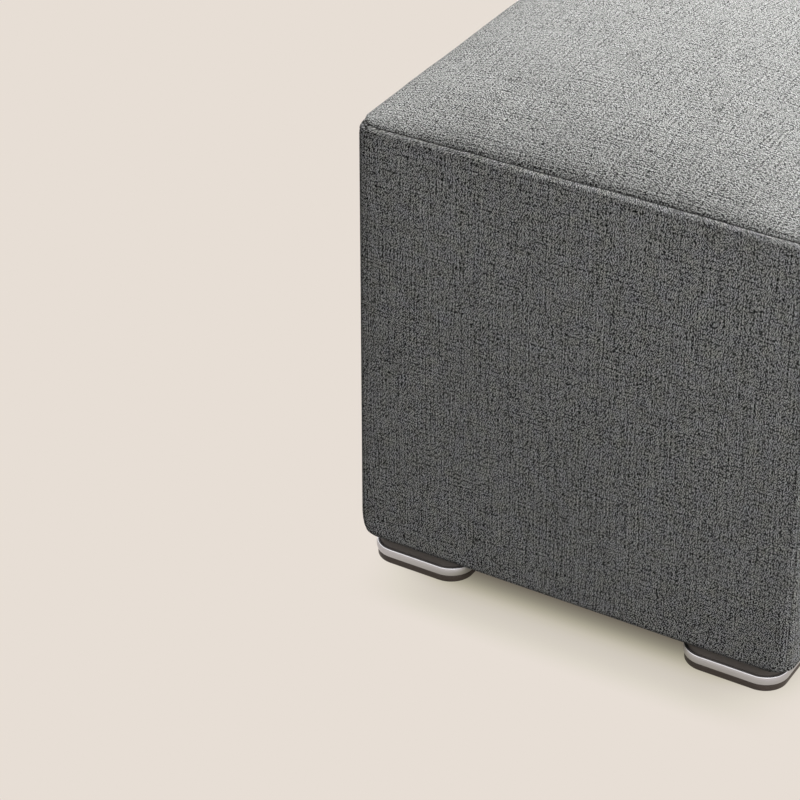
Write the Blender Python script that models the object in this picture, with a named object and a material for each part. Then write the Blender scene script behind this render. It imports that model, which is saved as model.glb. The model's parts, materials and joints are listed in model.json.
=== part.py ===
"""An upholstered cube pouf: a puffed-up top panel, four side panels sewn to it and to each other, and four
low feet, each a dark block with a metal band round it and a sole under both.

Metres, +Z up. The origin is on the floor under the pouf's middle, and the front faces -Y.
"""

import math
from collections import namedtuple

import bmesh
import bpy
from mathutils import Matrix, Vector

# Driving dimensions
WIDTH = 0.42  # the body between opposite corner seams, along X and along Y
SEAM_HEIGHT = 0.4364  # from the floor to the seam round the top panel
CROWN = 0.0329  # how far the top panel's middle stands above that seam
CLOTH_BOTTOM = 0.0233  # from the floor to the flat underside of the cloth
GAP = 0.0003  # between neighbouring pieces

HALF = WIDTH / 2

# Side panels
CORNER_RADIUS = 0.009  # of the body's upright edges, in plan
FOOT_CORNER_RADIUS = 0.019  # of the same edges at the underside, where the cloth is pulled under
CORNER_BLEND = 0.026  # height over which one radius passes into the other
UNDER_RADIUS = 0.0065  # of the rolled edge along the underside
FULLNESS = 0.003  # how far the filling pushes the middle of a side out
CORNER_SEAM_DEPTH = 0.0016  # of the crease along a corner seam
CORNER_SEAM_SPREAD = 0.4  # share of the rounded edge over which the cloth dips into that crease
STRAIGHT_STEPS = 5  # columns from the middle of a panel to the start of its rounded edge
ARC_STEPS = 4  # columns from there to the corner seam
UNDER_STEPS = 4
WALL_HEIGHTS = (0.045, 0.06, 0.11, 0.17, 0.23, 0.29, 0.35, 0.39, 0.415)  # levels between the rolled edges

# The rolled top edge of a side panel. The cloth dips a little where the seam allowance ends behind it.
LipRow = namedtuple("LipRow", "below_seam inset")
TOP_LIP = (
    LipRow(below_seam=0.0120, inset=0.0001),
    LipRow(below_seam=0.0095, inset=0.0007),
    LipRow(below_seam=0.0075, inset=0.0001),
    LipRow(below_seam=0.0040, inset=0.0000),
    LipRow(below_seam=0.0018, inset=0.0008),
    LipRow(below_seam=0.0007, inset=0.0023),
    LipRow(below_seam=0.0000, inset=0.0048),
)

# The top panel's rolled edge, from its widest line down into the seam.
RollRow = namedtuple("RollRow", "above_seam inset")
TOP_ROLL = (
    RollRow(above_seam=0.0011, inset=0.0018),
    RollRow(above_seam=0.0006, inset=0.0023),
    RollRow(above_seam=0.0003, inset=0.0032),
    RollRow(above_seam=0.0000, inset=0.0048),
)
ROLL_HEIGHT = 0.0015  # of the top panel's widest line above the seam
TOP_CORNER_RADIUS = 0.014  # of the top panel in plan, drawn in a little from the sides' corners
TOP_CELLS = 36  # squares along each side of the top panel
CROWN_FLATNESS = 2.306  # a higher power keeps the middle of the crown flatter
CROWN_FALL = 0.723  # a lower power makes the crown rise more steeply at its edges

# Feet
FOOT_X = 0.1534  # from the pouf's middle to a foot's, along X
FOOT_FRONT_INSET = 0.0014  # from the corner seams' plane back to the band
FOOT_LENGTH = 0.0973  # of the band, along X
FOOT_DEPTH = 0.0733  # of the band, along Y
FOOT_RADIUS = 0.0235  # of the band's upright edges
SOLE_INSET = 0.0015  # of the sole from the band's outside
SOLE_TOP = 0.0069
BAND_TOP = 0.0154
BAND_WALL = 0.0030
BAND_LIP = 0.0007  # rounding of the band's edges
SOLE_ROUNDING = 0.0010
CORNER_SEGMENTS = 6
RIM_SEGMENTS = 2
LEVEL_TOLERANCE = 0.000001  # two ends nearer than this in height make a level edge

CLOTH_COLOUR = (0.17, 0.173, 0.168)
BLOCK_COLOUR = (0.045, 0.039, 0.035)
BAND_COLOUR = (0.60, 0.585, 0.575)
SOLE_COLOUR = (0.050, 0.034, 0.029)


def clear_scene():
    for obj in list(bpy.data.objects):
        bpy.data.objects.remove(obj, do_unlink=True)


def new_collection(name):
    collection = bpy.data.collections.new(name)
    bpy.context.scene.collection.children.link(collection)
    return collection


def new_material(name, colour, roughness, metallic=0.0):
    material = bpy.data.materials.new(name)
    material.use_nodes = True
    shader = material.node_tree.nodes["Principled BSDF"]
    shader.inputs["Base Color"].default_value = (*colour, 1.0)
    shader.inputs["Roughness"].default_value = roughness
    shader.inputs["Metallic"].default_value = metallic
    return material


def add_object(name, bm, collection, material, sharp_degrees=40):
    """Turns a bmesh into a smooth-shaded object whose faces point out."""
    bmesh.ops.recalc_face_normals(bm, faces=bm.faces[:])
    mesh = bpy.data.meshes.new(name)
    bm.to_mesh(mesh)
    bm.free()
    mesh.materials.append(material)
    mesh.shade_smooth()
    mesh.set_sharp_from_angle(angle=math.radians(sharp_degrees))
    obj = bpy.data.objects.new(name, mesh)
    collection.objects.link(obj)
    return obj


# Side panels


def underside_levels():
    """(height, inset) up the quarter round along the underside."""
    for step in range(UNDER_STEPS + 1):
        angle = math.radians(90) * step / UNDER_STEPS
        yield (
            CLOTH_BOTTOM + UNDER_RADIUS * (1 - math.cos(angle)),
            UNDER_RADIUS * (1 - math.sin(angle)),
        )


def panel_levels():
    """(height, inset) of each level section of a side panel, from the underside to the top seam."""
    levels = list(underside_levels())
    levels += [(height, 0.0) for height in WALL_HEIGHTS]
    levels += [(SEAM_HEIGHT - GAP / 2 - row.below_seam, row.inset) for row in TOP_LIP]
    return levels


def edge_radius(height):
    """The plan radius of the upright edges, which grows towards the underside."""
    near_floor = max(0.0, 1 - (height - CLOTH_BOTTOM) / CORNER_BLEND)
    return CORNER_RADIUS + (FOOT_CORNER_RADIUS - CORNER_RADIUS) * near_floor**2


def fullness(across, height):
    """How far the cloth bulges at a place that is `across`, 0 to 1, from the middle to a corner seam."""
    up = (height - CLOTH_BOTTOM) / (SEAM_HEIGHT - CLOTH_BOTTOM)
    return FULLNESS * (1 - abs(across) ** 4) * (1 - abs(2 * up - 1) ** 4)


def face_point(column, height, inset):
    """A point of the front panel's face. Columns count out from the middle, negative ones to the left."""
    steps = abs(column)
    radius = edge_radius(height)
    straight = HALF - inset - radius
    angle = math.radians(45) * max(0, steps - STRAIGHT_STEPS) / ARC_STEPS
    share = min(1.0, steps / STRAIGHT_STEPS)
    near_seam = max(0.0, angle / math.radians(45) - 1 + CORNER_SEAM_SPREAD) / CORNER_SEAM_SPREAD
    reach = radius - CORNER_SEAM_DEPTH * near_seam**2
    x = straight * share + reach * math.sin(angle)
    seam_x = straight + (radius - CORNER_SEAM_DEPTH) * math.sin(math.radians(45))
    y = -straight - reach * math.cos(angle) - fullness(x / seam_x, height)
    return Vector((math.copysign(x, column), y, height))


def side_panel(name, turn, collection, material):
    """A loft of level sections. Each runs from one corner seam to the next and back to the pouf's middle."""
    last_column = STRAIGHT_STEPS + ARC_STEPS
    # The mitred ends of neighbouring panels keep GAP between them.
    apart = Vector((0, -GAP / math.sqrt(2), 0))
    place = Matrix.Rotation(math.radians(turn), 4, "Z")
    bm = bmesh.new()
    sections = []
    for height, inset in panel_levels():
        points = [face_point(column, height, inset) for column in range(-last_column, last_column + 1)]
        points.append(Vector((0, 0, height)))
        sections.append([bm.verts.new(place @ (point + apart)) for point in points])
    for lower, upper in zip(sections, sections[1:]):
        for here in range(len(lower)):
            there = (here + 1) % len(lower)
            bm.faces.new((lower[here], lower[there], upper[there], upper[here]))
    bm.faces.new(sections[0])
    bm.faces.new(sections[-1])
    return add_object(name, bm, collection, material)


# Top panel


def crown_share(across):
    """The crown's rise, 1 in the middle and 0 at the edge, along one direction."""
    return max(0.0, 1 - abs(across) ** CROWN_FLATNESS) ** CROWN_FALL


def rounded_corner(point, half, radius):
    """Moves a point of a square of this half width so that the square gets round corners."""
    start = half - radius
    a, b = (abs(point.x) - start) / radius, (abs(point.y) - start) / radius
    if a <= 0 or b <= 0:
        return point
    x = start + radius * a * math.sqrt(1 - b * b / 2)
    y = start + radius * b * math.sqrt(1 - a * a / 2)
    return Vector((math.copysign(x, point.x), math.copysign(y, point.y), point.z))


def crown_point(across_x, across_y):
    """A point of the top panel's upper face. Both shares run from -1 to 1."""
    half = HALF - TOP_ROLL[0].inset
    rise = (CROWN - ROLL_HEIGHT) * crown_share(across_x) * crown_share(across_y)
    point = Vector((half * across_x, half * across_y, SEAM_HEIGHT + ROLL_HEIGHT + rise))
    return rounded_corner(point, half, TOP_CORNER_RADIUS)


def top_panel(collection, material):
    """A crowned grid whose rim is drawn out, down the rolled edge, and closed by a flat underside."""
    bm = bmesh.new()
    bmesh.ops.create_grid(bm, x_segments=TOP_CELLS, y_segments=TOP_CELLS, size=1.0)
    for vert in bm.verts:
        # The sine sets the lines of the grid closer together towards the panel's edges.
        vert.co = crown_point(*(math.sin(math.radians(90) * share) for share in vert.co.xy))
    rim = [edge for edge in bm.edges if edge.is_boundary]
    widest = HALF - TOP_ROLL[0].inset
    for row in TOP_ROLL:
        drawn = bmesh.ops.extrude_edge_only(bm, edges=rim)["geom"]
        rim = [item for item in drawn if isinstance(item, bmesh.types.BMEdge)]
        scale = (HALF - row.inset) / widest
        widest = HALF - row.inset
        for vert in (item for item in drawn if isinstance(item, bmesh.types.BMVert)):
            vert.co = (vert.co.x * scale, vert.co.y * scale, SEAM_HEIGHT + GAP / 2 + row.above_seam)
    bmesh.ops.contextual_create(bm, geom=rim)
    return add_object("top_panel", bm, collection, material)


# Feet


def is_level(edge):
    low, high = sorted(vert.co.z for vert in edge.verts)
    return high - low < LEVEL_TOLERANCE


def bevel(bm, edges, radius, segments):
    bmesh.ops.bevel(bm, geom=edges, offset=radius, segments=segments, profile=0.5, affect="EDGES")


def rounded_slab(length, depth, bottom, top, corner_radius, edge_rounding):
    """A level slab with round upright edges and softened rims, centred on the origin in plan."""
    bm = bmesh.new()
    size = Matrix.Diagonal((length, depth, top - bottom, 1))
    place = Matrix.Translation((0, 0, (top + bottom) / 2))
    bmesh.ops.create_cube(bm, size=1.0, matrix=place @ size)
    upright = [edge for edge in bm.edges if not is_level(edge)]
    bevel(bm, upright, corner_radius, CORNER_SEGMENTS)
    if edge_rounding:
        bevel(bm, [edge for edge in bm.edges if is_level(edge)], edge_rounding, RIM_SEGMENTS)
    return bm


def band_ring(outer, hole):
    """Cuts the middle out of the band's slab. Both are closed meshes, and the hole runs past both faces."""
    cut = outer.modifiers.new("hole", "BOOLEAN")
    cut.operation = "DIFFERENCE"
    cut.object = hole


def foot(name, x, y, parts, cutters, materials):
    """One foot: the sole on the floor, the band on it, and the block that passes through the band."""
    at = Vector((x, y, 0))
    sole = rounded_slab(
        FOOT_LENGTH - 2 * SOLE_INSET,
        FOOT_DEPTH - 2 * SOLE_INSET,
        0.0,
        SOLE_TOP,
        FOOT_RADIUS - SOLE_INSET,
        SOLE_ROUNDING,
    )
    add_object(f"foot_sole_{name}", sole, parts, materials["sole"]).location = at

    band = rounded_slab(FOOT_LENGTH, FOOT_DEPTH, SOLE_TOP + GAP, BAND_TOP, FOOT_RADIUS, BAND_LIP)
    band = add_object(f"foot_band_{name}", band, parts, materials["band"])
    band.location = at
    hole = rounded_slab(
        FOOT_LENGTH - 2 * BAND_WALL,
        FOOT_DEPTH - 2 * BAND_WALL,
        SOLE_TOP - BAND_WALL,
        BAND_TOP + BAND_WALL,
        FOOT_RADIUS - BAND_WALL,
        0.0,
    )
    hole = add_object(f"band_hole_{name}", hole, cutters, materials["band"])
    hole.location = at
    hole.hide_render = True
    hole.display_type = "WIRE"
    band_ring(band, hole)

    inset = BAND_WALL + GAP
    block = rounded_slab(
        FOOT_LENGTH - 2 * inset,
        FOOT_DEPTH - 2 * inset,
        SOLE_TOP + GAP,
        CLOTH_BOTTOM - GAP,
        FOOT_RADIUS - inset,
        0.0,
    )
    add_object(f"foot_block_{name}", block, parts, materials["block"]).location = at


def main():
    clear_scene()
    parts = new_collection("cube_pouf")
    cutters = new_collection("cutters")
    cloth = new_material("cloth", CLOTH_COLOUR, 0.95)
    hard = {
        "block": new_material("foot_block", BLOCK_COLOUR, 0.55),
        "band": new_material("foot_band", BAND_COLOUR, 0.35, metallic=1.0),
        "sole": new_material("foot_sole", SOLE_COLOUR, 0.6),
    }

    top_panel(parts, cloth)
    for name, turn in (("front", 0), ("right", 90), ("back", 180), ("left", 270)):
        side_panel(f"{name}_panel", turn, parts, cloth)

    foot_y = HALF - FOOT_FRONT_INSET - FOOT_DEPTH / 2
    for end, y in (("front", -foot_y), ("back", foot_y)):
        for side, x in (("left", -FOOT_X), ("right", FOOT_X)):
            foot(f"{end}_{side}", x, y, parts, cutters, hard)


main()
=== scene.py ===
"""The looks of an upholstered cube pouf: five melange-woven covers over their filling, and four feet.

Each foot is a dark block with a brushed metal band round it and a sole under both. Metres, +Z up. The origin
is on the floor under the pouf's middle, and the front faces -Y.
"""

import json
import math
from collections import namedtuple

import bmesh
import bpy
import numpy as np
from mathutils import Matrix, Vector

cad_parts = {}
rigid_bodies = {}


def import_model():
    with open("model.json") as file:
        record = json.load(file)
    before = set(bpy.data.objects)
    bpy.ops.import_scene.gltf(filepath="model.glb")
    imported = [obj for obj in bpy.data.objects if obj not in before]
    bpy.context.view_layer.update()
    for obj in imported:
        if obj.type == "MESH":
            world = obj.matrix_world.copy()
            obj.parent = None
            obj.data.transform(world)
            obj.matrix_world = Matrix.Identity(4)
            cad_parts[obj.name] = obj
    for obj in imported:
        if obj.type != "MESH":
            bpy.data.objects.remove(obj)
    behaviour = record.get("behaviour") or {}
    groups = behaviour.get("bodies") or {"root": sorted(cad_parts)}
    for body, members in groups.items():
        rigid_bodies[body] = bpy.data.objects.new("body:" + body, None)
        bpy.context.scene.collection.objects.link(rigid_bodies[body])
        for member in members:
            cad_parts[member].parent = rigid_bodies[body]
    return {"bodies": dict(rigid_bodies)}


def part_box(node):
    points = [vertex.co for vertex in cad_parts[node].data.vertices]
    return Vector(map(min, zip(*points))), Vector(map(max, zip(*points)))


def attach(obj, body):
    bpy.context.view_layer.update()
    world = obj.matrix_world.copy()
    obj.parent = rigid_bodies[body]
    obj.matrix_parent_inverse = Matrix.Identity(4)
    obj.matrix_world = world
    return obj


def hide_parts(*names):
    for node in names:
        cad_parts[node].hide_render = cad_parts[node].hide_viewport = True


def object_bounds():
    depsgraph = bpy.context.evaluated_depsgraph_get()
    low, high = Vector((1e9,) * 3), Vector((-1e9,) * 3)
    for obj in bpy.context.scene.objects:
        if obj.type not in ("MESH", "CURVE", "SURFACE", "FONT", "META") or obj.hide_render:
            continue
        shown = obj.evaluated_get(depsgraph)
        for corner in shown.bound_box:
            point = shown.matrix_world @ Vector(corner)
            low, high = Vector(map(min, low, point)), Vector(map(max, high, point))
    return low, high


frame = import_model()
CAD_BOX = [list(corner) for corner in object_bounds()]

# Sizes taken from the frame
GAP = 0.0003  # between neighbouring pieces
CORNER_GAP = GAP / math.sqrt(2)  # how far out a side cover is moved, to keep that gap to those beside it
FULLNESS = 0.003  # how far the filling pushes the middle of a side out
HALF = CAD_BOX[1][0] - FULLNESS - CORNER_GAP  # from the middle to the corner seams' planes
CLOTH_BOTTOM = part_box("front_panel")[0].z
SEAM_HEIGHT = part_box("front_panel")[1].z + GAP / 2
CROWN_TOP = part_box("top_panel")[1].z

# Side covers
SEAM_ANGLE = math.radians(45)  # that the cloth turns through from the flat of a side to its corner seam
CORNER_RADIUS = 0.0081  # of the body's upright edges, in plan
SHOULDER = 0.0006  # how far the cloth falls back towards an upright edge before it turns
SHOULDER_REACH = 0.007  # over what distance it does
FOOT_CORNER_RADIUS = 0.019  # of the same edges at the underside, where the cloth is pulled under
CORNER_BLEND = 0.026  # height over which the radius passes into that one
TOP_EDGE_RADIUS = 0.025  # of the same edges at the top seam
TOP_BLEND = 0.013  # height over which the radius passes into that one
UNDER_RADIUS = 0.0065  # of the rolled edge along the underside
CORNER_SEAM_DEPTH = 0.0010  # of the crease along a corner seam
CORNER_SEAM_SPREAD = 0.4  # share of the rounded edge over which the cloth dips into that crease
FULLNESS_POWER = 4  # higher: a side's middle is flatter
LIP_TOP = 0.0009  # of the rolled edge along the top seam, below the seam's height
LIP_HEIGHT = 0.0054  # radii of that edge
LIP_INSET = 0.0045
LIP_PROUD = 0.0003  # how far the lip stands out from the cloth below it
LIP_UNDERCUT = math.radians(17)  # how far the lip's curve runs on past upright
RIDGE_DIP = 0.0002  # of the cloth where the seam allowance behind it ends
RIDGE_REACH = 0.0042  # height below the lip over which the cloth draws in to that dip
GROOVE_DEPTH = 0.0016  # of the top seam below the lip's highest line, which runs out at the corner seams
GROOVE_WIDTH = 0.0005
WALL_STEP = 0.0022  # between the grid lines on the flat of a cover
ARC_COLUMNS = 12  # grid lines on half a rounded upright edge
UNDER_ROWS = 10
DIP_ROWS = 8
LIP_ROWS = 14
GROOVE_ROWS = 3

# Painted highlight and shade on the cloth: how much lighter it is painted where the lip catches the light,
# and how much darker in the creases, at the corners and low down, where shade falls
# Painted highlight along the rolled lip under the top seam, where the light catches it
LIP_HIGHLIGHT = 1.4
LIP_HIGHLIGHT_POWER = 1.6  # higher: closer to the lip's highest line
REAR_LIP_HIGHLIGHT_SHARE = 0.5  # share of the lip's painted highlight on the covers that face the back and the left
CORNER_PAINT_FADE = 0.6  # share of the lip's painted highlight and of the groove's painted shade that is gone at a corner seam
# Painted shade where the cloth turns round an upright edge and in the corner seam's crease
SHOULDER_SHADE = -0.12
CORNER_SHADE = -0.05
CREASE_SHADE = -0.2
CREASE_SHADE_POWER = 12  # higher: closer to the corner seam
CORNER_SHADES_START = 0.004  # below the top seam, where these last three painted shades begin
CORNER_SHADES_FULL = 0.010  # and where they are full
# Painted shade where the cloth draws in under the lip
RIDGE_SHADE = -0.2
RIDGE_SHADE_POWER = 4  # higher: closer to the lip
# Painted shade in the top seam's groove
GROOVE_SHADE = -0.93
# Painted shade on the rolled underside, close to the floor
BOTTOM_SHADE = -0.4
BOTTOM_SHADE_HEIGHT = 0.008
# Painted shade on the cloth's lowest edge, close above a foot
FOOT_SHADOW = -0.88
FOOT_SHADOW_HEIGHT = 0.0052  # over which it fades
FOOT_SHADOW_FULL = 0.25  # share of that height below which it is full
FOOT_SPAN = (0.100, 0.207)  # across a side, where a foot is close under the cloth
FOOT_SPAN_EDGE = 0.006  # over which the foot's painted shadow fades at the ends of that span

# Top cover
ROLL_HEIGHT = 0.0001  # of its widest line above the seam
ROLL_INSET = 0.0015  # of that line from the corner seams' planes
EDGE_FALL = 0.0010  # how much lower than the crown's own curve the cloth is at its edge
EDGE_REACH = 0.0032  # over what distance it falls
EDGE_SHADE = -0.20  # painted shade: how much darker it is at its edge, where it rolls down to the seam
EDGE_SHADE_REACH = 0.006
TOP_CORNER_RADIUS = 0.0185
TOP_CELLS = 200
EDGE_CROWDING = 0.75  # share of the grid's spacing that closes up towards the edges
CROWN_FLATNESS = 2.306  # higher: the crown's middle is flatter
CROWN_FALL = 0.723  # lower: the crown rises more steeply at its edges
ROLL_ROWS = 6

# Cloth simulation of the filling's push
SIM_STRIDE = 3  # grid lines of a cover to one of the simulated cloth
SIM_FRAMES = 20
SIM_QUALITY = 5
SIM_PRESSURE = 4.0
SIM_STIFFNESS = 15.0
SIM_SLACK = 0.001  # share by which the cloth is cut larger than its frame
SIM_RISE = 0.0011  # what the simulation brings of the fullness: its movement is scaled down to this
SIM_SMOOTHINGS = 3

# Unevenness of stuffed cloth: one row for each size of undulation
Wave = namedtuple("Wave", "length height")
SIDE_WAVES = (Wave(0.13, 0.00045), Wave(0.05, 0.00012))
TOP_WAVES = (Wave(0.11, 0.0005), Wave(0.04, 0.00016))
SEAM_WAVES = (Wave(0.09, 0.00025), Wave(0.028, 0.00015))
SIDE_WAVE_POWERS = (6, 8)  # higher: a side's unevenness goes closer to its corner seams and level edges
TOP_WAVES_FULL = 0.4  # share of the crown's height from which the top's unevenness is full
SEAM_WAVE_REACH = 0.012  # distance from the top seam over which its waviness fades
WAVE_COUNT = 14  # plane waves that are added up for each size

# Feet
BAND_WALL = 0.0030
BAND_LIP = 0.0009  # radius of its rims
BAND_BULGE = 0.00045  # how far the band's outside stands out halfway up
BULGE_STEPS = 8
SLAB_ROUNDING = 0.0010  # of the level edges of sole and block
FOOT_RADIUS = 0.0235
SOLE_INSET = 0.0015
CORNER_SEGMENTS = 20
RIM_SEGMENTS = 4
LEVEL_TOLERANCE = 0.000001  # two ends nearer than this in height make a level edge

SHARP_EDGE = math.radians(50)  # faces that meet at more than this are shaded apart


# Meshes


def add_object(name, data):
    """Puts a new object in the scene."""
    obj = bpy.data.objects.new(name, data)
    bpy.context.scene.collection.objects.link(obj)
    return obj


def add_piece(name, mesh, material, node):
    """Makes a shown piece that rides on the pouf's one body in place of its CAD node."""
    mesh.materials.append(material)
    mesh.shade_smooth()
    mesh.set_sharp_from_angle(angle=SHARP_EDGE)
    piece = add_object(name, mesh)
    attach(piece, next(iter(frame["bodies"])))
    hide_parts(node)
    return piece


def mesh_of(name, bm):
    """The mesh of a bmesh, with its faces pointing out."""
    bmesh.ops.recalc_face_normals(bm, faces=bm.faces[:])
    mesh = bpy.data.meshes.new(name)
    bm.to_mesh(mesh)
    bm.free()
    return mesh


def set_values(mesh, name, values):
    """Stores one number for each vertex, for the material to read."""
    mesh.attributes.new(name, "FLOAT", "POINT").data.foreach_set("value", values.astype(np.float32))


def undulation(waves, seed):
    """A smooth random field over space: f(x, y, z) in metres, the same each run."""
    rng = np.random.default_rng(seed)
    rows = []
    for wave in waves:
        directions = rng.normal(size=(WAVE_COUNT, 3))
        directions /= np.linalg.norm(directions, axis=1, keepdims=True)
        pitches = 2 * math.pi / (wave.length * rng.uniform(0.7, 1.4, WAVE_COUNT))
        phases = rng.uniform(0, 2 * math.pi, WAVE_COUNT)
        rows.append((directions * pitches[:, None], phases, wave.height * math.sqrt(2 / WAVE_COUNT)))

    def field(x, y, z):
        total = np.zeros(np.broadcast(x, y, z).shape)
        for directions, phases, height in rows:
            for (a, b, c), phase in zip(directions, phases):
                total += height * np.sin(a * x + b * y + c * z + phase)
        return total

    return field


seam_rise = undulation(SEAM_WAVES, seed=3)


# Simulation


def picked_lines(count):
    """The grid lines that the simulated cloth has too, of this many."""
    return sorted({*range(0, count, SIM_STRIDE), count - 1})


def fine_from_coarse(count):
    """The matrix that turns values on the picked lines into values on every line, of this many."""
    picked = picked_lines(count)
    return np.array([np.interp(np.arange(count), picked, unit) for unit in np.eye(len(picked))]).T


def smoothed(field):
    """The field with each value drawn towards those next to it."""
    for axis in (0, 1):
        padding = [(1, 1) if axis == side else (0, 0) for side in (0, 1)]
        padded = np.pad(field, padding, mode="edge")
        count = field.shape[axis]
        before = np.take(padded, range(count), axis)
        after = np.take(padded, range(2, count + 2), axis)
        field = (before + 2 * field + after) / 4
    return field


def simulated_movement(vertices, faces, held):
    """How far the filling's pressure moves each vertex of these cloths, which are held at some of them."""
    mesh = bpy.data.meshes.new("simulated_cloth")
    mesh.from_pydata(vertices, [], faces)
    sheet = add_object("simulated_cloth", mesh)
    pins = sheet.vertex_groups.new(name="seams")
    pins.add([index for index, is_held in enumerate(held) if is_held], 1.0, "REPLACE")
    cloth = sheet.modifiers.new("cloth", "CLOTH")
    cloth.settings.quality = SIM_QUALITY
    cloth.settings.use_pressure = True
    cloth.settings.uniform_pressure_force = SIM_PRESSURE
    cloth.settings.tension_stiffness = SIM_STIFFNESS
    cloth.settings.compression_stiffness = SIM_STIFFNESS
    cloth.settings.shrink_min = -SIM_SLACK
    cloth.settings.vertex_group_mass = pins.name
    cloth.settings.effector_weights.gravity = 0.0
    cloth.point_cache.frame_end = SIM_FRAMES
    scene = bpy.context.scene
    for frame_number in range(1, SIM_FRAMES + 1):
        scene.frame_set(frame_number)
    settled = sheet.evaluated_get(bpy.context.evaluated_depsgraph_get()).data
    places = np.empty(3 * len(vertices))
    settled.vertices.foreach_get("co", places)
    bpy.data.objects.remove(sheet)
    bpy.data.meshes.remove(mesh)
    scene.frame_set(1)
    return places.reshape(-1, 3) - np.array(vertices)


def pushed_out(grids):
    """How far a short cloth simulation moves each point of these grids, each given as (points, free to move,
    outward).

    The filling presses on every cloth, which its seams hold."""
    vertices, faces, held = [], [], []
    for points, free, outward in grids:
        rows, columns = picked_lines(free.shape[0]), picked_lines(free.shape[1])
        first = len(vertices)
        vertices += points[np.ix_(rows, columns)].reshape(-1, 3).tolist()
        held += (~free[np.ix_(rows, columns)]).ravel().tolist()
        row_starts = first + np.arange(len(rows) - 1)[:, None] * len(columns)
        corner = row_starts + np.arange(len(columns) - 1)[None, :]
        quads = np.stack([corner, corner + 1, corner + 1 + len(columns), corner + len(columns)], -1)
        faces += quads.reshape(-1, 4).tolist()
    moved = simulated_movement(vertices, faces, held)
    pushes, first = [], 0
    for points, free, outward in grids:
        rows, columns = picked_lines(free.shape[0]), picked_lines(free.shape[1])
        last = first + len(rows) * len(columns)
        push = (moved[first:last] @ np.array(outward)).reshape(len(rows), len(columns))
        push *= min(1.0, SIM_RISE / abs(push).max())
        push = fine_from_coarse(free.shape[0]) @ push @ fine_from_coarse(free.shape[1]).T
        for _ in range(SIM_SMOOTHINGS):
            push = smoothed(push)
        pushes.append(push)
        first = last
    return pushes


# Side covers


def cover_rows():
    """(height, inset, tone) of the grid's level lines, from the underside up to the bottom of the groove. The
    tone is painted highlight along the lip and painted shade under it and in the groove.
    """
    rows = []
    for angle in np.linspace(0, math.pi / 2, UNDER_ROWS + 1):
        height = CLOTH_BOTTOM + UNDER_RADIUS * (1 - math.cos(angle))
        rows.append((height, UNDER_RADIUS * (1 - math.sin(angle)), 0.0))
    lip_foot = SEAM_HEIGHT - LIP_TOP - LIP_HEIGHT * (1 + math.sin(LIP_UNDERCUT))
    dip_start = lip_foot - RIDGE_REACH
    wall_bottom = CLOTH_BOTTOM + UNDER_RADIUS
    wall_rows = round((dip_start - wall_bottom) / WALL_STEP)
    rows += [(height, 0.0, 0.0) for height in np.linspace(wall_bottom, dip_start, wall_rows + 1)[1:]]
    foot_inset = LIP_INSET * (1 - math.cos(LIP_UNDERCUT)) - LIP_PROUD
    for height in np.linspace(dip_start, lip_foot, DIP_ROWS + 1)[1:-1]:
        share = (height - dip_start) / (lip_foot - dip_start)
        near = share**2 * (3 - 2 * share)
        rows.append((height, (foot_inset + RIDGE_DIP) * near, RIDGE_SHADE * near**RIDGE_SHADE_POWER))
    for angle in np.linspace(-LIP_UNDERCUT, math.pi / 2, LIP_ROWS + 1):
        under = max(0.0, -math.sin(angle) / math.sin(LIP_UNDERCUT)) ** 2
        height = SEAM_HEIGHT - LIP_TOP - LIP_HEIGHT * (1 - math.sin(angle))
        inset = LIP_INSET * (1 - math.cos(angle)) - LIP_PROUD + RIDGE_DIP * under
        tone = LIP_HIGHLIGHT * max(0.0, math.sin(angle)) ** LIP_HIGHLIGHT_POWER + RIDGE_SHADE * under
        rows.append((height, inset, tone))
    for share in np.linspace(1 / GROOVE_ROWS, 1, GROOVE_ROWS):
        inset = LIP_INSET - LIP_PROUD + GROOVE_WIDTH * math.sqrt(share)
        rows.append((SEAM_HEIGHT - LIP_TOP - share * GROOVE_DEPTH, inset, GROOVE_SHADE * share))
    return np.array(rows)


def cover_columns():
    """(share of the straight stretch, angle round the rounded edge) of the grid's upright lines."""
    straight_columns = 2 * round((HALF - CORNER_RADIUS) / WALL_STEP)
    straight = [(share, 0.0) for share in np.linspace(-1, 1, straight_columns + 1)]
    angles = np.linspace(0, SEAM_ANGLE, ARC_COLUMNS + 1)[1:]
    return np.array([(-1, -angle) for angle in angles[::-1]] + straight + [(1, angle) for angle in angles])


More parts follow.
